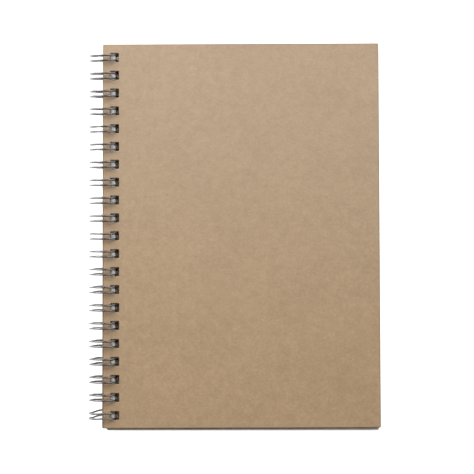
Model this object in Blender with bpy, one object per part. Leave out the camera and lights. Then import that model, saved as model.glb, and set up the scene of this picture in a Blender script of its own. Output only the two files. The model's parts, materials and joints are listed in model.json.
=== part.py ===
"""A pocket sketchbook in twin-loop wire binding: two kraft boards, 24 loose leaves and one bent wire.

The book is drawn flat, with the hinge line (the middle of the wire's loops) as its origin: +X from the spine to
the fore-edge, +Y to the head, +Z out of the front cover. It is then leant on a table at its true resting angle,
because the loops stand out further than the back cover does. Lengths are in metres.
"""

import math

import bmesh
import bpy
from mathutils import Matrix, Vector

# Binding wire
LOOPS = 21
PITCH = 0.0254 / 3  # three loops to the inch
LOOP_RADIUS = 0.00655  # to the middle of the wire
WIRE_RADIUS = 0.00045
PAIR_SPACING = 0.00241  # between the two wires of one loop
LEAN = 0.055  # the upper side of a loop leans towards the foot by this share of its height
LOW_LEAN = 0.12  # the outer lower quarter leans this much towards the head
# Where a loop goes from one lean to the other, late enough to clear the holes of a cover that is turned over.
LEAN_CHANGE = (math.radians(178), math.radians(242))
SEAM_ANGLE = math.radians(-60)  # where the straight segments between the loops run
TIP_ANGLE = math.radians(288)  # where each loop's rounded tip ends
SEAM_BEND = 0.001
ARC_STEPS = 14
TIP_STEPS = 4
WIRE_SIDES = 6

# Punched holes, the same die for boards and leaves
HOLE_WIDTH = 0.0041
HOLE_HEIGHT = 0.00415
HOLE_MARGIN = 0.0035  # from a sheet's spine edge to its holes

# Boards
BOARD_HEIGHT = 0.1815
BOARD_RISE = 0.00015  # the boards' middle is this much above the middle of the row of holes
BOARD_THICKNESS = 0.0015
FRONT_SPINE_X = -0.0004
FORE_EDGE_X = 0.1301
BACK_SPINE_X = 0.0008  # set back, so that the front cover can lie open beside it

# Leaves
LEAVES = 24
LEAF_WIDTH = 0.1272
LEAF_HEIGHT = 0.182
LEAF_DROP = 0.0004  # the leaves' middle is this much below the middle of the row of holes
LEAF_THICKNESS = 0.00016
# A real pad of leaves touches. 0.03 mm of air between parallel flat sheets keeps every pair of solids apart.
LEAF_PITCH = 0.00019
WIRE_CLEARANCE = 0.00015  # between a leaf's holes and the wire that they hang on
TRIM_X = 0.00006  # how far a leaf's cut edge strays from its neighbours'
TRIM_Y = 0.0001
GOLDEN_ANGLE = math.pi * (3 - math.sqrt(5))

BLOCK_HALF = LEAVES * LEAF_PITCH / 2
BOARD_Z = BLOCK_HALF + 0.00002  # a board's inner face
COVER_HOLE_X = FRONT_SPINE_X + HOLE_MARGIN


def clear_scene():
    """Remove everything that a new scene starts with."""
    for obj in list(bpy.data.objects):
        bpy.data.objects.remove(obj, do_unlink=True)


def material(name, colour, roughness, metallic):
    """A plain Principled material."""
    made = bpy.data.materials.new(name)
    made.use_nodes = True
    shader = made.node_tree.nodes["Principled BSDF"]
    shader.inputs["Base Color"].default_value = (*colour, 1.0)
    shader.inputs["Roughness"].default_value = roughness
    shader.inputs["Metallic"].default_value = metallic
    return made


def kraft_board(name):
    return material(name, (0.46, 0.34, 0.21), 0.85, 0.0)


def drawing_paper(name):
    return material(name, (0.86, 0.85, 0.81), 0.9, 0.0)


def coated_steel(name):
    return material(name, (0.55, 0.56, 0.58), 0.3, 1.0)


def add_object(name, mesh, surface, frame):
    """An object whose origin is on the hinge line, standing with the book."""
    mesh.materials.append(surface)
    obj = bpy.data.objects.new(name, mesh)
    bpy.context.scene.collection.objects.link(obj)
    obj.parent = frame
    return obj


def hole_rows():
    """The low and high Y of each hole, from the foot to the head."""
    middles = [(i - (LOOPS - 1) / 2) * PITCH for i in range(LOOPS)]
    return [(y - HOLE_HEIGHT / 2, y + HOLE_HEIGHT / 2) for y in middles]


def punched_outline(bm, x_low, x_high, y_low, y_high, hole_x, z):
    """The faces of a punched sheet at one height: a strip each side of the holes, and the webs between them.

    Returns the faces, all wound the same way."""
    hole_x_high = hole_x + HOLE_WIDTH
    stops = [y_low] + [y for row in hole_rows() for y in row] + [y_high]
    near = [bm.verts.new((hole_x, y, z)) for y in stops]
    far = [bm.verts.new((hole_x_high, y, z)) for y in stops]
    spine = [bm.verts.new((x_low, y, z)) for y in (y_high, y_low)]
    fore = [bm.verts.new((x_high, y, z)) for y in (y_low, y_high)]
    faces = [bm.faces.new(near + spine), bm.faces.new(far[::-1] + fore)]
    for i in range(0, len(stops), 2):
        faces.append(bm.faces.new((near[i], far[i], far[i + 1], near[i + 1])))
    return faces


def punched_sheet(name, x_low, x_high, y_low, y_high, hole_x, z_low, z_high):
    """A flat sheet with the row of square holes."""
    bm = bmesh.new()
    faces = punched_outline(bm, x_low, x_high, y_low, y_high, hole_x, z_low)
    lifted = bmesh.ops.extrude_face_region(bm, geom=faces, use_keep_orig=True)
    top = [v for v in lifted["geom"] if isinstance(v, bmesh.types.BMVert)]
    bmesh.ops.translate(bm, verts=top, vec=(0, 0, z_high - z_low))
    bmesh.ops.recalc_face_normals(bm, faces=bm.faces)
    mesh = bpy.data.meshes.new(name)
    bm.to_mesh(mesh)
    bm.free()
    return mesh


def add_cover(name, spine_x, z_low, frame):
    y_low = BOARD_RISE - BOARD_HEIGHT / 2
    mesh = punched_sheet(
        name,
        spine_x,
        FORE_EDGE_X,
        y_low,
        y_low + BOARD_HEIGHT,
        COVER_HOLE_X,
        z_low,
        z_low + BOARD_THICKNESS,
    )
    return add_object(name, mesh, kraft_board(name), frame)


def add_leaf(number, frame):
    """Leaf 1 lies under the front cover. Each leaf hangs on the wire, so its place follows the loop's curve."""
    name = f"leaf_{number:02d}"
    z = BLOCK_HALF - (number - 0.5) * LEAF_PITCH
    furthest = abs(z) + LEAF_THICKNESS / 2
    hole_x = math.sqrt((LOOP_RADIUS - WIRE_RADIUS) ** 2 - furthest**2) - WIRE_CLEARANCE
    x_low = hole_x - HOLE_MARGIN + TRIM_X * math.sin(number * GOLDEN_ANGLE)
    y_low = -LEAF_DROP - LEAF_HEIGHT / 2 + TRIM_Y * math.cos(number * GOLDEN_ANGLE)
    mesh = punched_sheet(
        name,
        x_low,
        x_low + LEAF_WIDTH,
        y_low,
        y_low + LEAF_HEIGHT,
        hole_x,
        z - LEAF_THICKNESS / 2,
        z + LEAF_THICKNESS / 2,
    )
    return add_object(name, mesh, drawing_paper(name), frame)


def loop_outline(middle):
    """One double loop as (angle round the hinge line, Y), up one wire, round the tip and back down the other."""
    half = PAIR_SPACING / 2
    start = SEAM_ANGLE + SEAM_BEND / LOOP_RADIUS
    turn = TIP_ANGLE - half / LOOP_RADIUS
    rise = [start + (turn - start) * i / ARC_STEPS for i in range(ARC_STEPS + 1)]
    tip = []
    for i in range(1, TIP_STEPS):
        swing = math.pi * i / TIP_STEPS
        along = turn + half / LOOP_RADIUS * math.sin(swing)
        tip.append((along, middle - half * math.cos(swing)))
    up = [(a, middle - half) for a in rise]
    down = [(a, middle + half) for a in reversed(rise)]
    return up + tip + down


def seam_outline(y_low, y_high):
    """The straight segment from one loop to the next, with its two rounded corners."""
    cut = SEAM_BEND * (1 - math.sqrt(0.5))
    near = SEAM_ANGLE + cut / LOOP_RADIUS
    return [
        (near, y_low + cut),
        (SEAM_ANGLE, y_low + SEAM_BEND),
        (SEAM_ANGLE, y_high - SEAM_BEND),
        (near, y_high - cut),
    ]


def lean_shift(angle):
    """How far along Y the wire strays from its loop's plane at this angle."""
    first, last = LEAN_CHANGE
    share = min(max((angle - first) / (last - first), 0), 1)
    share *= share * (3 - 2 * share)
    lean = LEAN + (LOW_LEAN - LEAN) * share
    return -lean * LOOP_RADIUS * math.sin(angle)


def wire_points():
    """The wire's middle line from the foot to the head, each point with the direction out of the loop."""
    outline = []
    for i in range(LOOPS):
        middle = (i - (LOOPS - 1) / 2) * PITCH
        if i:
            outline += seam_outline(middle - PITCH + PAIR_SPACING / 2, middle - PAIR_SPACING / 2)
        outline += loop_outline(middle)
    step = (TIP_ANGLE - SEAM_ANGLE) / ARC_STEPS
    radius = LOOP_RADIUS * (1 + 1 / math.cos(step / 2)) / 2  # halves the error of straight steps
    points = []
    for angle, y in outline:
        out = Vector((math.cos(angle), 0, math.sin(angle)))
        points.append((out * radius + Vector((0, y + lean_shift(angle), 0)), out))
    return points


def add_wire(frame):
    """The whole binding wire as one swept round."""
    name = "twin_loop_wire"
    points = wire_points()
    bm = bmesh.new()
    rings = []
    for i, (middle, out) in enumerate(points):
        before = points[max(i - 1, 0)][0]
        after = points[min(i + 1, len(points) - 1)][0]
        side = (after - before).normalized().cross(out)
        turns = [math.tau * k / WIRE_SIDES for k in range(WIRE_SIDES)]
        ring = [middle + WIRE_RADIUS * (out * math.cos(t) + side * math.sin(t)) for t in turns]
        rings.append([bm.verts.new(corner) for corner in ring])
    for here, there in zip(rings, rings[1:]):
        for k in range(WIRE_SIDES):
            nxt = (k + 1) % WIRE_SIDES
            bm.faces.new((here[k], here[nxt], there[nxt], there[k]))
    bm.faces.new(rings[0])
    bm.faces.new(rings[-1])
    bmesh.ops.recalc_face_normals(bm, faces=bm.faces)
    for face in bm.faces:
        face.smooth = len(face.verts) == 4
    mesh = bpy.data.meshes.new(name)
    bm.to_mesh(mesh)
    bm.free()
    return add_object(name, mesh, coated_steel(name), frame)


def resting_angle():
    """How far the book leans, with its loops and the back cover's fore-edge both on the table."""
    drop = BOARD_Z + BOARD_THICKNESS
    reach = math.hypot(FORE_EDGE_X, drop)
    return math.asin((LOOP_RADIUS + WIRE_RADIUS) / reach) - math.atan2(drop, FORE_EDGE_X)


def stand_on_table(frame, objects):
    """Lean the book and put the middle of its underside's bounding box at the world origin."""
    lean = Matrix.Rotation(resting_angle(), 4, "Y")
    corners = [lean @ v.co for obj in objects for v in obj.data.vertices]
    low = Vector(min(c[axis] for c in corners) for axis in range(3))
    high = Vector(max(c[axis] for c in corners) for axis in range(3))
    frame.rotation_euler = lean.to_euler()
    frame.location = (-(low.x + high.x) / 2, -(low.y + high.y) / 2, -low.z)


def main():
    clear_scene()
    frame = bpy.data.objects.new("hinge_line", None)
    bpy.context.scene.collection.objects.link(frame)
    objects = [
        add_cover("front_cover", FRONT_SPINE_X, BOARD_Z, frame),
        add_cover("back_cover", BACK_SPINE_X, -BOARD_Z - BOARD_THICKNESS, frame),
        add_wire(frame),
    ]
    objects += [add_leaf(number, frame) for number in range(1, LEAVES + 1)]
    stand_on_table(frame, objects)


main()
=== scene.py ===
"""Looks of the twin-loop sketchbook: die-cut boards, one bent wire, paper, a pale floor, light and camera.

The boards and the wire are drawn in the book's own frame, whose origin is on the hinge line, with +X to the
fore-edge, +Y to the head and +Z out of the front cover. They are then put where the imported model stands.
Lengths are in metres.
"""

import json
import math

import bmesh
import bpy
from mathutils import Matrix, Vector


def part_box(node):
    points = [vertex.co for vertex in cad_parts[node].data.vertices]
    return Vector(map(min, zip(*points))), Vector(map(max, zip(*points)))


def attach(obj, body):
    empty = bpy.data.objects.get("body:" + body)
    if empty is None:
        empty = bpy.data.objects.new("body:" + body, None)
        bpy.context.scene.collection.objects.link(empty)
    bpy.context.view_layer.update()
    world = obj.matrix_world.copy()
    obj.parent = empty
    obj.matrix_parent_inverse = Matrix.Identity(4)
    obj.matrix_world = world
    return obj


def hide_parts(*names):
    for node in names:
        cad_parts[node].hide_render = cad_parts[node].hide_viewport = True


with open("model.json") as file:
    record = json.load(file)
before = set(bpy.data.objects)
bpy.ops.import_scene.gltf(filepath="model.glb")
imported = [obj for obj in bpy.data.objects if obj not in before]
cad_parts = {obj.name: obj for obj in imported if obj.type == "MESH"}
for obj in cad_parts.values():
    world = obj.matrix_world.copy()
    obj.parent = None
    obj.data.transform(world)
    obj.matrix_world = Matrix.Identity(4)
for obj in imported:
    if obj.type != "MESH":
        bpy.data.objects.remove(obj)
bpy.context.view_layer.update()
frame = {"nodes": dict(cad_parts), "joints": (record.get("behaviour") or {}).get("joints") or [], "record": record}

MM = 0.001

# Binding wire
LOOPS = 21
PITCH = 0.0254 / 3
LOOP_RADIUS = 0.00655
WIRE_RADIUS = 0.00045
PAIR_SPACING = 0.00241
LEAN = 0.055  # the upper side of a loop leans towards the foot by this share of its height
LOW_LEAN = 0.12  # the outer lower quarter leans this much towards the head
LEAN_CHANGE = (math.radians(178), math.radians(242))
SEAM_ANGLE = math.radians(-60)
TIP_ANGLE = math.radians(288)
SEAM_BEND = 0.001
ARC_STEPS = 60
TIP_STEPS = 10
BEND_STEPS = 4
WIRE_SIDES = 12
PATTERN_PACE = 0.06  # along the wire, its surface pattern changes at this share of the pace across it
GOLDEN_ANGLE = math.pi * (3 - math.sqrt(5))

# What is irregular about the loops
LOOP_STRAY = 0.00005  # how far each loop strays from its place along the spine
LOOP_STRAY_PHASE = 0.7
LEAN_STRAY = 0.035  # how far the lean of a loop's lower side strays
STRAY_CHANGE = (math.radians(216), math.radians(247))  # past the holes of a cover or leaf that is turned over
FOOT_LOOP_PULL = 0.0009  # the loop at the foot is pulled this much out of true on its lower side
PULL_CHANGE = (math.radians(214), math.radians(268))
FOOT_LOOP_BOW = 0.0002  # and bowed this much on both sides of its outermost point
BOW_ABOVE = math.radians(80)  # how far round the bow reaches on the upper side
BOW_BELOW = math.radians(34)  # and on the lower one

# Boards and their punched holes
HOLE_WIDTH = 0.0041
HOLE_HEIGHT = 0.00415
HOLE_MARGIN = 0.0035  # from the front cover's spine edge
HOLE_CORNER = 0.00035
BOARD_HEIGHT = 0.1817  # 0.2 mm taller than the CAD board
BOARD_RISE = 0.00017  # a board's middle is this much nearer the head than the loops' middle
BOARD_THICKNESS = 0.0015
BOARD_CORNER = 0.0005
SHARPEST_CORNER = 0.00005  # a corner's radius isn't made smaller than this
BOARD_Z = 0.0023  # a board's inner face, from the hinge line
FRONT_SPINE_X = -0.0004
BACK_SPINE_X = 0.0008
FORE_EDGE_X = 0.1301
COVER_HOLE_X = FRONT_SPINE_X + HOLE_MARGIN
FRONT_TURN = math.radians(0.178)  # the front cover lies this much askew on the leaves
HELD_WIDTH = 1.2 * BOARD_CORNER  # how far in from the spine its lower edge is held in line
CORNER_STEPS = 5
EVEN_NORMALS = 90  # how strongly the large faces set a board's shading

# A board's cut edge from its outer face to its inner one, as (how far in from the cut, how far down) in mm
OUTER_EDGE = (
    (0.42, 0.0),
    (0.2, 0.012),
    (0.09, 0.04),
    (0.025, 0.095),
    (0.0, 0.18),
    (0.0, 1.4),
    (0.02, 1.47),
    (0.08, 1.5),
)
HOLE_EDGE = (
    (0.55, 0.0),
    (0.3, 0.02),
    (0.13, 0.06),
    (0.04, 0.12),
    (0.0, 0.22),
    (0.0, 1.36),
    (0.03, 1.45),
    (0.1, 1.5),
)
FACE_STEPS = 3  # the first steps of a cut are rolled in from the face and look like it

# Patterns. A scale is in features per metre.
NOISE_SPAN = (0.3, 0.7)  # most of a noise pattern's values lie in this span
FIBRE_STRETCH = (0.16, 1.0, 1.0)

# Kraft board
KRAFT_DARK = (0.335, 0.225, 0.124)
KRAFT_LIGHT = (0.515, 0.354, 0.209)
# The pale colour of the painted sheen at the head
KRAFT_PAINTED_SHEEN = (0.55, 0.50, 0.42)
# The dark colour of the painted shade along the board's edges
KRAFT_EDGE_SHADE = (0.17, 0.115, 0.068)
KRAFT_ROUGHNESS = (0.74, 0.88)
MOTTLE_SCALE = 900.0
BLOTCH_SCALE = 230.0
CLOUD_SCALE = 38.0
MOTTLE_WEIGHT = 1.15
BLOTCH_WEIGHT = 0.55
CLOUD_WEIGHT = 0.35
MOTTLE_DEPTH = 0.00004
PALE_FIBRE = (0.62, 0.50, 0.36)
DARK_FIBRE = (0.24, 0.155, 0.085)
FIBRE_SHARE = 0.30
# Sets of fibres: (direction in radians, scale, the noise values between which their mask rises)
PALE_SETS = ((0.5, 3600.0, 0.66, 0.76), (-1.0, 3100.0, 0.67, 0.77))
DARK_SETS = ((1.3, 2900.0, 0.66, 0.77), (-0.3, 3300.0, 0.67, 0.78))
HEAD_PAINTED_SHEEN = 0.2  # how far the colour is paled towards the painted sheen at the head
EDGE_LINE = 0.0001  # a board's edges get the painted shade in full over this width,
EDGE_FADE = 0.0006  # and then less and less up to here
FOOT_EDGE_SHADE = 0.75  # how strong the painted edge shade is at the foot
HEAD_EDGE_SHADE = 0.45  # and at the head

# Cut board
CUT_DARK = (0.10, 0.068, 0.042)
CUT_LIGHT = (0.27, 0.19, 0.12)
CUT_ROUGHNESS = (0.82, 0.95)
CRUMB_SCALE = 2600.0
CRUMB_DEPTH = 0.00006
PLY = 0.00034
PLY_WANDER = 0.00022
PLY_WANDER_SCALE = 260.0

# Leaves
LEAVES = 24
PAPER_DARK = (0.800, 0.790, 0.750)
PAPER_LIGHT = (0.880, 0.872, 0.838)
PAPER_FIBRE = (0.74, 0.73, 0.68)
PAPER_FIBRE_SHARE = 0.25
PAPER_FIBRE_TURN = 0.4  # each leaf's fibres run this many radians on from the last one's
PAPER_FIBRE_SET = (2600.0, 0.66, 0.78)
PAPER_ROUGHNESS = (0.84, 0.96)
PAPER_WARMTH = 0.008  # how far a leaf's colour strays towards warm or cool
PAPER_CLOUD_SCALE = 60.0
TOOTH_SCALE = 1900.0
TOOTH_DEPTH = 0.00003

# Wire coating
WIRE_DARK = (0.19, 0.185, 0.19)
WIRE_LIGHT = (0.31, 0.305, 0.31)
WIRE_ROUGHNESS = (0.22, 0.36)
LINE_SCALE = 9000.0
LINE_DEPTH = 0.000012
PATCH_SCALE = 2200.0

# Floor
FLOOR_HALF = 6.0
FLOOR_CELLS = 8
FLOOR_GAP = 0.0001  # below the part
FLOOR_COLOUR = (0.86, 0.86, 0.86, 1.0)
FLOOR_ROUGHNESS = 0.9
FLOOR_SPECULAR = 0.2
FLOOR_GLOW = 0.9
GLOW_COLOUR = (1.0, 1.0, 1.0, 1.0)
FLOOR_FADE = 0.001  # the glow stops over this width, just inside the back cover's outline

# Room light: its strength from the right, and the shares of it that come from elsewhere
WORLD_LIGHT = 0.55
MIDDLE_SHARE = 0.44
LEFT_SHARE = 0.2
FOOT_SHARE = 0.12
RIGHT_SPAN = (0.4, 0.85)  # in a direction's X, from the middle's share to the right's
LEFT_SPAN = (-0.85, -0.3)  # and from the left's share to the middle's
HEAD_SPAN = (-0.6, 0.4)  # in its Y, from the foot's share to all of it
COLOUR_SPAN = (-0.5, 0.5)  # and from the warm light to the cool one
COOL_LIGHT = (0.94, 0.98, 1.06)
WARM_LIGHT = (1.0, 0.84, 0.68)

# Softboxes: (name, place, side, watts, colour)
SOFTBOXES = (
    ("key", (-0.55, 0.5, 0.6), 1.0, 12.8, (0.98, 0.985, 1.0)),
    ("fill", (0.6, 0.45, 0.5), 0.9, 4.0, (1.0, 0.97, 0.94)),
)

# Camera
CAMERA_PLACE = (0.04792, -0.09709, 1.4)
CAMERA_TURN = (3.9804, 1.9061, -0.016)  # degrees about X, Y and Z
CAMERA_LENS = 224.66  # mm, as is the sensor
CAMERA_SENSOR = 36.0
CAMERA_CLIP = 0.05

# Where the book stands, and its lean: the axis of the record's first mount points out of its back cover
HINGE = Vector(frame["joints"][0]["pos_m"])
UNDERSIDE = frame["record"]["mounts"][0]["axis"]
BOOK = Matrix.Translation(HINGE) @ Matrix.Rotation(math.atan2(-UNDERSIDE[0], -UNDERSIDE[2]), 4, "Y")


# ---------------------------------------------------------------- shading helpers


def new_material(name):
    """An empty Principled material as (material, node tree, shader)."""
    made = bpy.data.materials.new(name)
    made.use_nodes = True
    return made, made.node_tree, made.node_tree.nodes["Principled BSDF"]


def add_node(tree, kind, values=None, links=None, **settings):
    """A node with its settings, socket values and incoming links."""
    made = tree.nodes.new(kind)
    for key, value in settings.items():
        setattr(made, key, value)
    for key, value in (values or {}).items():
        made.inputs[key].default_value = value
    for key, source in (links or {}).items():
        tree.links.new(source, made.inputs[key])
    return made


def math_node(tree, operation, *terms, clamp=False):
    """A Math node's output. A term is a number or another node's output."""
    made = tree.nodes.new("ShaderNodeMath")
    made.operation = operation
    made.use_clamp = clamp
    for socket, term in zip(made.inputs, terms):
        if isinstance(term, (int, float)):
            socket.default_value = term
        else:
            tree.links.new(term, socket)
    return made.outputs[0]


def object_place(tree):
    """Where a point lies in its own object."""
    return add_node(tree, "ShaderNodeTexCoord").outputs["Object"]


def attribute(tree, name):
    """The vector that a mesh attribute holds."""
    return add_node(tree, "ShaderNodeAttribute", attribute_name=name).outputs["Vector"]


def split(tree, vector):
    """The X, Y and Z outputs of a vector, by name."""
    return add_node(tree, "ShaderNodeSeparateXYZ", links={"Vector": vector}).outputs


def noise(tree, place, scale, detail=2.0, roughness=0.5, distortion=0.0):
    """Cloudy noise, its features about 1 / scale metres wide."""
    values = {"Scale": scale, "Detail": detail, "Roughness": roughness, "Distortion": distortion}
    return add_node(tree, "ShaderNodeTexNoise", values, {"Vector": place}).outputs["Fac"]


def stretched(tree, place, scales, turn):
    """The place turned about Z and stretched, for patterns with a direction."""
    values = {"Scale": scales, "Rotation": (0.0, 0.0, turn)}
    return add_node(tree, "ShaderNodeMapping", values, {"Vector": place}).outputs["Vector"]


def band(tree, value, low, high, low_out=0.0, high_out=1.0):
    """value mapped smoothly from low...high to low_out...high_out, and held outside that."""
    values = {"From Min": low, "From Max": high, "To Min": low_out, "To Max": high_out}
    made = add_node(tree, "ShaderNodeMapRange", values, {"Value": value}, interpolation_type="SMOOTHSTEP")
    return made.outputs["Result"]


def blend_colour(tree, share, first, second):
    """A mix of two colours. Each is an RGB triple or another node's output, and share is an output."""
    made = tree.nodes.new("ShaderNodeMix")
    made.data_type = "RGBA"
    tree.links.new(share, made.inputs["Factor"])
    for key, term in (("A", first), ("B", second)):
        socket = next(s for s in made.inputs if s.name == key and s.type == "RGBA")
        if isinstance(term, tuple):
            socket.default_value = (*term, 1.0)
        else:
            tree.links.new(term, socket)
    return next(s for s in made.outputs if s.type == "RGBA")


def add_bump(tree, shader, height, depth, strength):
    """Bump from a height of 0 to 1 that stands for depth metres."""
    values = {"Strength": strength, "Distance": depth}
    made = add_node(tree, "ShaderNodeBump", values, {"Height": height})
    tree.links.new(made.outputs["Normal"], shader.inputs["Normal"])


def fibres(tree, place, turn, scale, low, high):
    """Short thin strands that run about one way, as a mask."""
    along = stretched(tree, place, FIBRE_STRETCH, turn)
    strands = noise(tree, along, scale, 1.0, 0.4, 0.6)
    return band(tree, strands, low, high)


def crossed_fibres(tree, place, sets):
    """Two sets of fibres that cross, as one mask."""
    first, second = (fibres(tree, place, *one) for one in sets)
    return math_node(tree, "MAXIMUM", first, second)


def vary_roughness(tree, shader, pattern, span):
    """Roughness that runs over a span as a noise pattern does."""
    tree.links.new(band(tree, pattern, *NOISE_SPAN, *span), shader.inputs["Roughness"])


# ---------------------------------------------------------------- materials

# A board's patterns are placed by its "place" attribute: where a point lies in the book's frame, before the
# front cover is laid askew. A leaf's patterns follow its own object, and the wire's its "draw" attribute.


def kraft_tone(tree, place):
    """Brown board pulp, as its fine mottling alone and as a tone that adds slower clouds."""
    fine = noise(tree, place, MOTTLE_SCALE, 3.0, 0.6)
    medium = noise(tree, place, BLOTCH_SCALE)
    cloud = noise(tree, place, CLOUD_SCALE)
    tone = math_node(tree, "MULTIPLY_ADD", fine, MOTTLE_WEIGHT, -0.475)
    tone = math_node(tree, "MULTIPLY_ADD", medium, BLOTCH_WEIGHT, tone)
    tone = math_node(tree, "MULTIPLY_ADD", cloud, CLOUD_WEIGHT, tone)
    tone = math_node(tree, "SUBTRACT", tone, 0.05, clamp=True)
    return fine, tone


def edge_nearness(tree, place, spine_x):
    """1 on the board's outline and 0 from EDGE_FADE inwards."""
    parts = split(tree, place)
    half_width = (FORE_EDGE_X - spine_x) / 2
    across = math_node(tree, "SUBTRACT", parts["X"], spine_x + half_width)
    along = math_node(tree, "SUBTRACT", parts["Y"], BOARD_RISE)
    side_gap = math_node(tree, "SUBTRACT", half_width, math_node(tree, "ABSOLUTE", across))
    end_gap = math_node(tree, "SUBTRACT", BOARD_HEIGHT / 2, math_node(tree, "ABSOLUTE", along))
    gap = math_node(tree, "MINIMUM", side_gap, end_gap)
    return band(tree, gap, EDGE_LINE, EDGE_FADE, 1.0, 0.0)


def kraft_material(name, spine_x):
    """The board's face: mottled brown with fibres, paled by a painted sheen towards the head, its edges darkened
    by painted shade.
    """
    made, tree, shader = new_material(name)
    place = attribute(tree, "place")
    fine, tone = kraft_tone(tree, place)
    colour = blend_colour(tree, tone, KRAFT_DARK, KRAFT_LIGHT)
    headward = split(tree, place)["Y"]
    # Painted sheen: the face pales towards the head, where the head-side light glances off it
    painted_sheen = band(tree, headward, -BOARD_HEIGHT / 2, BOARD_HEIGHT / 2, 0.0, HEAD_PAINTED_SHEEN)
    colour = blend_colour(tree, painted_sheen, colour, KRAFT_PAINTED_SHEEN)
    pale = crossed_fibres(tree, place, PALE_SETS)
    dark = crossed_fibres(tree, place, DARK_SETS)
    colour = blend_colour(tree, math_node(tree, "MULTIPLY", pale, FIBRE_SHARE), colour, PALE_FIBRE)
    colour = blend_colour(tree, math_node(tree, "MULTIPLY", dark, FIBRE_SHARE), colour, DARK_FIBRE)
    # Painted shade along the board's outline, strongest at the foot, away from the head-side light
    edge_shade_strength = band(tree, headward, -BOARD_HEIGHT / 2, BOARD_HEIGHT / 2, FOOT_EDGE_SHADE, HEAD_EDGE_SHADE)
    painted_edge_shade = math_node(tree, "MULTIPLY", edge_nearness(tree, place, spine_x), edge_shade_strength)
    colour = blend_colour(tree, painted_edge_shade, colour, KRAFT_EDGE_SHADE)
    tree.links.new(colour, shader.inputs["Base Color"])
    vary_roughness(tree, shader, fine, KRAFT_ROUGHNESS)
    height = math_node(tree, "MULTIPLY_ADD", pale, 0.35, fine)
    add_bump(tree, shader, height, MOTTLE_DEPTH, 0.6)
    return made


def cut_board_material():
    """The board's cut edge: darker, in plies."""
    made, tree, shader = new_material("kraft_cut_edge")
    place = attribute(tree, "place")
    wander = noise(tree, place, PLY_WANDER_SCALE)
    level = math_node(tree, "MULTIPLY_ADD", wander, PLY_WANDER, split(tree, place)["Z"])
    plies = math_node(tree, "SINE", math_node(tree, "MULTIPLY", level, math.tau / PLY))
    plies = math_node(tree, "MULTIPLY_ADD", plies, 0.5, 0.5)
    crumbs = noise(tree, place, CRUMB_SCALE, 3.0, 0.65)
    tone = math_node(tree, "MULTIPLY_ADD", crumbs, 1.3, -0.35)
    tone = math_node(tree, "MULTIPLY_ADD", plies, 0.35, tone, clamp=True)
    colour = blend_colour(tree, tone, CUT_DARK, CUT_LIGHT)
    tree.links.new(colour, shader.inputs["Base Color"])
    vary_roughness(tree, shader, crumbs, CUT_ROUGHNESS)
    height = math_node(tree, "MULTIPLY_ADD", plies, 0.4, crumbs)
    add_bump(tree, shader, height, CRUMB_DEPTH, 0.8)
    return made


def warmed(colour, warmth):
    """The colour made warmer, or cooler if warmth is negative."""
    red, green, blue = colour
    return red + warmth, green, blue - warmth


def paper_material(number):
    """Uncoated drawing paper. Each leaf is a touch warmer or cooler than the next, as sheets in a pad are."""
    made, tree, shader = new_material(f"drawing_paper_{number:02d}")
    place = object_place(tree)
    tooth = noise(tree, place, TOOTH_SCALE, 3.0, 0.6)
    cloud = noise(tree, place, PAPER_CLOUD_SCALE + number)
    tone = math_node(tree, "MULTIPLY_ADD", tooth, 0.8, -0.5)
    tone = math_node(tree, "MULTIPLY_ADD", cloud, 1.2, tone, clamp=True)
    warmth = PAPER_WARMTH * math.sin(number * GOLDEN_ANGLE)
    colour = blend_colour(tree, tone, warmed(PAPER_DARK, warmth), warmed(PAPER_LIGHT, warmth))
    strands = fibres(tree, place, PAPER_FIBRE_TURN * number, *PAPER_FIBRE_SET)
    strands = math_node(tree, "MULTIPLY", strands, PAPER_FIBRE_SHARE)
    colour = blend_colour(tree, strands, colour, PAPER_FIBRE)
    tree.links.new(colour, shader.inputs["Base Color"])
    vary_roughness(tree, shader, tooth, PAPER_ROUGHNESS)
    add_bump(tree, shader, tooth, TOOTH_DEPTH, 0.5)
    return made


def wire_material():
    """Silver-coated steel with fine drawing lines along it and dull patches."""
    made, tree, shader = new_material("coated_wire")
    place = attribute(tree, "draw")
    lines = noise(tree, place, LINE_SCALE)
    patches = noise(tree, place, PATCH_SCALE)
    tone = math_node(tree, "MULTIPLY_ADD", patches, 1.2, -0.4)
    tone = math_node(tree, "MULTIPLY_ADD", lines, 0.6, tone, clamp=True)
    colour = blend_colour(tree, tone, WIRE_DARK, WIRE_LIGHT)
    tree.links.new(colour, shader.inputs["Base Color"])
    shader.inputs["Metallic"].default_value = 1.0
    vary_roughness(tree, shader, patches, WIRE_ROUGHNESS)
    add_bump(tree, shader, lines, LINE_DEPTH, 0.5)
    return made


# ---------------------------------------------------------------- boards


def rounded_outline(x_low, x_high, y_low, y_high, corner, inset):
    """A rectangle with round corners as (x, y) points, drawn this far inside its edge."""
    corner = max(corner - inset, SHARPEST_CORNER)
    points = []
    for x, y, start in (
        (x_high - inset - corner, y_high - inset - corner, 0.0),
        (x_low + inset + corner, y_high - inset - corner, 0.25),
        (x_low + inset + corner, y_low + inset + corner, 0.5),
        (x_high - inset - corner, y_low + inset + corner, 0.75),
    ):
        for step in range(CORNER_STEPS):
            angle = math.tau * (start + 0.25 * step / (CORNER_STEPS - 1))
            points.append((x + corner * math.cos(angle), y + corner * math.sin(angle)))
    return points


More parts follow.
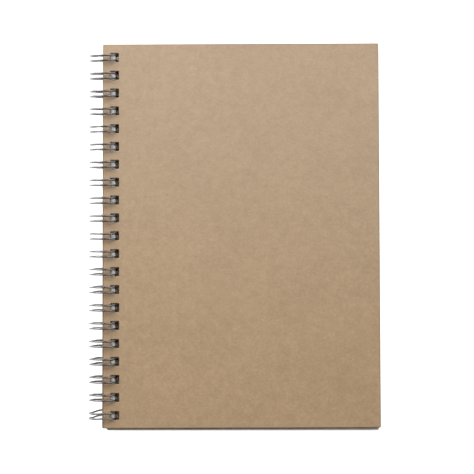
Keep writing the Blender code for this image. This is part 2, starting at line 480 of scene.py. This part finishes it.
def edge_wall(bm, x_low, x_high, y_low, y_high, corner, profile, outward, z_face, z_step):
    """The wall of a cut, as rings from the outer face to the inner one. Returns its first and last ring.

    outward is 1 where the board lies inside the outline, and -1 round a hole."""
    rings = []
    for inset, depth in profile:
        outline = rounded_outline(x_low, x_high, y_low, y_high, corner, inset * MM * outward)
        z = z_face + depth * MM * z_step
        rings.append([bm.verts.new((x, y, z)) for x, y in outline])
    for index, (here, there) in enumerate(zip(rings, rings[1:])):
        for k in range(len(here)):
            nxt = (k + 1) % len(here)
            face = bm.faces.new((here[k], here[nxt], there[nxt], there[k]))
            face.material_index = 1 if index >= FACE_STEPS else 0
    return rings[0], rings[-1]


def ring_edges(bm, ring):
    """The edges that join a ring of vertices."""
    return [bm.edges.get((ring[k], ring[(k + 1) % len(ring)])) for k in range(len(ring))]


def finished_mesh(bm, name):
    """The bmesh as a named mesh. It frees the bmesh."""
    mesh = bpy.data.meshes.new(name)
    bm.to_mesh(mesh)
    bm.free()
    return mesh


def board_mesh(name, spine_x, z_face, z_step):
    """A die-cut board with its row of holes. z_face is its outer face, and z_step points to its inner one."""
    bm = bmesh.new()
    y_low = BOARD_RISE - BOARD_HEIGHT / 2
    y_high = y_low + BOARD_HEIGHT
    walls = [edge_wall(bm, spine_x, FORE_EDGE_X, y_low, y_high, BOARD_CORNER, OUTER_EDGE, 1, z_face, z_step)]
    x_low, x_high = COVER_HOLE_X, COVER_HOLE_X + HOLE_WIDTH
    for i in range(LOOPS):
        middle = (i - (LOOPS - 1) / 2) * PITCH
        low, high = middle - HOLE_HEIGHT / 2, middle + HOLE_HEIGHT / 2
        walls.append(edge_wall(bm, x_low, x_high, low, high, HOLE_CORNER, HOLE_EDGE, -1, z_face, z_step))
    for side in (0, 1):
        edges = [edge for wall in walls for edge in ring_edges(bm, wall[side])]
        bmesh.ops.triangle_fill(bm, edges=edges, use_beauty=True, normal=(0, 0, 1))
    bmesh.ops.recalc_face_normals(bm, faces=bm.faces)
    place = bm.verts.layers.float_vector.new("place")
    for vert in bm.verts:
        vert[place] = vert.co
    for face in bm.faces:
        face.smooth = True
    return finished_mesh(bm, name)


def lay_askew(mesh, spine_x):
    """Turn the front cover a little about its head corner at the spine.

    Its lower edge at the spine stays in line with the wire, so that the cut face slants towards the foot."""
    pivot = Vector((spine_x, BOARD_RISE + BOARD_HEIGHT / 2, 0))
    turn = Matrix.Rotation(FRONT_TURN, 3, "Z")
    for vert in mesh.vertices:
        flat = vert.co - pivot
        turned = turn @ flat
        height = min(max((vert.co.z - BOARD_Z) / BOARD_THICKNESS, 0.0), 1.0)
        nearness = min(max(1 - (vert.co.x - spine_x) / HELD_WIDTH, 0.0), 1.0)
        hold = nearness * (1 - height)
        turned.x += (flat.x - turned.x) * hold
        vert.co = pivot + turned


def place_piece(name, mesh, surfaces, body, stands_for):
    """Put a mesh that is drawn in the book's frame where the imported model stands."""
    mesh.transform(BOOK)
    for surface in surfaces:
        mesh.materials.append(surface)
    obj = bpy.data.objects.new(name, mesh)
    bpy.context.scene.collection.objects.link(obj)
    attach(obj, body)
    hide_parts(stands_for)
    return obj


def add_board(name, stands_for, body, mesh, face_material, cut_material):
    """Put a board in its place. Its rolled edges are shaded as a smooth turn out of its flat faces."""
    obj = place_piece(name, mesh, (face_material, cut_material), body, stands_for)
    weighted = obj.modifiers.new("even_normals", "WEIGHTED_NORMAL")
    weighted.mode = "FACE_AREA"
    weighted.weight = EVEN_NORMALS


def add_boards():
    """The front and back covers."""
    cut = cut_board_material()
    front = board_mesh("front_board", FRONT_SPINE_X, BOARD_Z + BOARD_THICKNESS, -1)
    lay_askew(front, FRONT_SPINE_X)
    face = kraft_material("kraft_front", FRONT_SPINE_X)
    add_board("front_board", "front_cover", "front_cover", front, face, cut)
    back = board_mesh("back_board", BACK_SPINE_X, -BOARD_Z - BOARD_THICKNESS, 1)
    add_board("back_board", "back_cover", "base", back, kraft_material("kraft_back", BACK_SPINE_X), cut)


# ---------------------------------------------------------------- wire


def smooth_share(angle, span):
    """0 before a span of angles and 1 after it, with a smooth rise between."""
    share = min(max((angle - span[0]) / (span[1] - span[0]), 0.0), 1.0)
    return share * share * (3 - 2 * share)


def foot_loop_bow(away):
    """The bow of the foot loop at this angle from its outermost point, towards the head on its lower side."""
    share = min(abs(away) / (BOW_BELOW if away > 0 else BOW_ABOVE), 1.0)
    return math.copysign(FOOT_LOOP_BOW, away) * math.sin(math.pi * share)


def lean_shift(angle, loop):
    """How far along Y the wire strays from its loop's plane at this angle."""
    stray = LEAN_STRAY * math.sin(2.0 * loop * GOLDEN_ANGLE) * smooth_share(angle, STRAY_CHANGE)
    lean = LEAN + (LOW_LEAN - LEAN) * smooth_share(angle, LEAN_CHANGE) + stray
    shift = -lean * LOOP_RADIUS * math.sin(angle)
    if loop == 0:
        shift += FOOT_LOOP_PULL * smooth_share(angle, PULL_CHANGE) + foot_loop_bow(angle - math.pi)
    return shift


def loop_outline(loop, middle):
    """One double loop as (loop, angle, Y), up one wire, round the tip and back down the other."""
    half = PAIR_SPACING / 2
    start = SEAM_ANGLE + SEAM_BEND / LOOP_RADIUS
    turn = TIP_ANGLE - half / LOOP_RADIUS
    rise = [start + (turn - start) * i / ARC_STEPS for i in range(ARC_STEPS + 1)]
    tip = []
    for i in range(1, TIP_STEPS):
        swing = math.pi * i / TIP_STEPS
        tip.append((loop, turn + half / LOOP_RADIUS * math.sin(swing), middle - half * math.cos(swing)))
    up = [(loop, a, middle - half) for a in rise]
    down = [(loop, a, middle + half) for a in reversed(rise)]
    return up + tip + down


def seam_outline(loop, y_low, y_high):
    """The straight segment from one loop to the next, with its two rounded corners."""
    first, last = [], []
    for i in range(1, BEND_STEPS + 1):
        swing = math.pi / 2 * i / BEND_STEPS
        rise = SEAM_BEND * (1 - math.sin(swing)) / LOOP_RADIUS
        run = SEAM_BEND * (1 - math.cos(swing))
        first.append((loop, SEAM_ANGLE + rise, y_low + run))
        last.append((loop, SEAM_ANGLE + rise, y_high - run))
    return first + last[::-1]


def loop_middle(loop):
    """Where the middle of a double loop lies along the spine."""
    stray = LOOP_STRAY * math.sin(loop * GOLDEN_ANGLE * 3.0 + LOOP_STRAY_PHASE)
    return (loop - (LOOPS - 1) / 2) * PITCH + stray


def wire_path():
    """The wire's middle line from the foot to the head, each point with the direction out of the loop."""
    outline = []
    for loop in range(LOOPS):
        middle = loop_middle(loop)
        if loop:
            outline += seam_outline(loop, loop_middle(loop - 1) + PAIR_SPACING / 2, middle - PAIR_SPACING / 2)
        outline += loop_outline(loop, middle)
    points = []
    for loop, angle, y in outline:
        out = Vector((math.cos(angle), 0, math.sin(angle)))
        points.append((out * LOOP_RADIUS + Vector((0, y + lean_shift(angle, loop), 0)), out))
    return points


def wire_mesh(name):
    """The wire as one swept round, with where each point lies along it and round it."""
    points = wire_path()
    bm = bmesh.new()
    draw = bm.verts.layers.float_vector.new("draw")
    rings = []
    travelled = 0.0
    for i, (middle, out) in enumerate(points):
        before = points[max(i - 1, 0)][0]
        after = points[min(i + 1, len(points) - 1)][0]
        travelled += (middle - before).length
        along = (after - before).normalized()
        side = along.cross(out).normalized()
        up = side.cross(along)
        ring = []
        for k in range(WIRE_SIDES):
            turn = math.tau * k / WIRE_SIDES
            across, lift = WIRE_RADIUS * math.sin(turn), WIRE_RADIUS * math.cos(turn)
            vert = bm.verts.new(middle + up * lift + side * across)
            vert[draw] = (travelled * PATTERN_PACE, across, lift)
            ring.append(vert)
        rings.append(ring)
    for here, there in zip(rings, rings[1:]):
        for k in range(WIRE_SIDES):
            nxt = (k + 1) % WIRE_SIDES
            bm.faces.new((here[k], here[nxt], there[nxt], there[k])).smooth = True
    bm.faces.new(rings[0])
    bm.faces.new(rings[-1])
    bmesh.ops.recalc_face_normals(bm, faces=bm.faces)
    return finished_mesh(bm, name)


def add_wire():
    """The binding wire, which the part's base carries with the back cover."""
    mesh = wire_mesh("binding_wire")
    place_piece("binding_wire", mesh, (wire_material(),), "base", "twin_loop_wire")


# ---------------------------------------------------------------- leaves


def dress_leaves():
    """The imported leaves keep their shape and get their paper."""
    for number in range(1, LEAVES + 1):
        leaf = frame["nodes"][f"leaf_{number:02d}"]
        leaf.material_slots[0].material = paper_material(number)


# ---------------------------------------------------------------- room


def floor_glow(tree):
    """The glow's strength: none under the back cover, where no light gets in."""
    parts = split(tree, object_place(tree))
    low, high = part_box("back_cover")
    gaps = []
    for axis, name in enumerate(("X", "Y")):
        middle, half = (low[axis] + high[axis]) / 2, (high[axis] - low[axis]) / 2
        away = math_node(tree, "ABSOLUTE", math_node(tree, "SUBTRACT", parts[name], middle))
        gaps.append(math_node(tree, "SUBTRACT", away, half))
    outside = math_node(tree, "MAXIMUM", *gaps)
    return band(tree, outside, -FLOOR_FADE, 0.0, 0.0, FLOOR_GLOW)


def add_floor():
    """A pale glowing table top, like a light table."""
    bm = bmesh.new()
    bmesh.ops.create_grid(bm, x_segments=FLOOR_CELLS, y_segments=FLOOR_CELLS, size=FLOOR_HALF)
    mesh = finished_mesh(bm, "floor")
    made, tree, shader = new_material("floor")
    shader.inputs["Base Color"].default_value = FLOOR_COLOUR
    shader.inputs["Roughness"].default_value = FLOOR_ROUGHNESS
    shader.inputs["Specular IOR Level"].default_value = FLOOR_SPECULAR
    shader.inputs["Emission Color"].default_value = GLOW_COLOUR
    tree.links.new(floor_glow(tree), shader.inputs["Emission Strength"])
    mesh.materials.append(made)
    obj = bpy.data.objects.new("floor", mesh)
    obj.location.z = -FLOOR_GAP
    bpy.context.scene.collection.objects.link(obj)


def add_world():
    """A room: bright to the right of the book and dim to its left, cool at its head and warm at its foot."""
    world = bpy.data.worlds.new("studio")
    bpy.context.scene.world = world
    world.use_nodes = True
    tree = world.node_tree
    shader = tree.nodes["Background"]
    parts = split(tree, add_node(tree, "ShaderNodeTexCoord").outputs["Generated"])
    right = band(tree, parts["X"], *RIGHT_SPAN, MIDDLE_SHARE, 1.0)
    left = band(tree, parts["X"], *LEFT_SPAN, LEFT_SHARE, MIDDLE_SHARE)
    strength = math_node(tree, "MAXIMUM", right, left)
    strength = math_node(tree, "MULTIPLY", strength, band(tree, parts["Y"], *HEAD_SPAN, FOOT_SHARE, 1.0))
    strength = math_node(tree, "MULTIPLY", strength, WORLD_LIGHT)
    tree.links.new(strength, shader.inputs["Strength"])
    warmth = band(tree, parts["Y"], *COLOUR_SPAN, 1.0, 0.0)
    tree.links.new(blend_colour(tree, warmth, COOL_LIGHT, WARM_LIGHT), shader.inputs["Color"])


def add_softbox(name, place, side, watts, colour):
    """A square softbox that faces the book."""
    lamp = bpy.data.lights.new(name, "AREA")
    lamp.shape = "SQUARE"
    lamp.size = side
    lamp.energy = watts
    lamp.color = colour
    obj = bpy.data.objects.new(name, lamp)
    obj.location = place
    obj.rotation_euler = (-Vector(place)).to_track_quat("-Z", "Y").to_euler()
    bpy.context.scene.collection.objects.link(obj)


def add_camera():
    """The camera, which looks nearly straight down on the book."""
    lens = bpy.data.cameras.new("camera")
    lens.lens = CAMERA_LENS
    lens.sensor_width = CAMERA_SENSOR
    lens.clip_start = CAMERA_CLIP
    obj = bpy.data.objects.new("camera", lens)
    obj.location = CAMERA_PLACE
    obj.rotation_euler = [math.radians(angle) for angle in CAMERA_TURN]
    bpy.context.scene.collection.objects.link(obj)
    bpy.context.scene.camera = obj


add_boards()
add_wire()
dress_leaves()
add_floor()
add_world()
for softbox in SOFTBOXES:
    add_softbox(*softbox)
add_camera()
bpy.context.scene.view_settings.view_transform = "Standard"
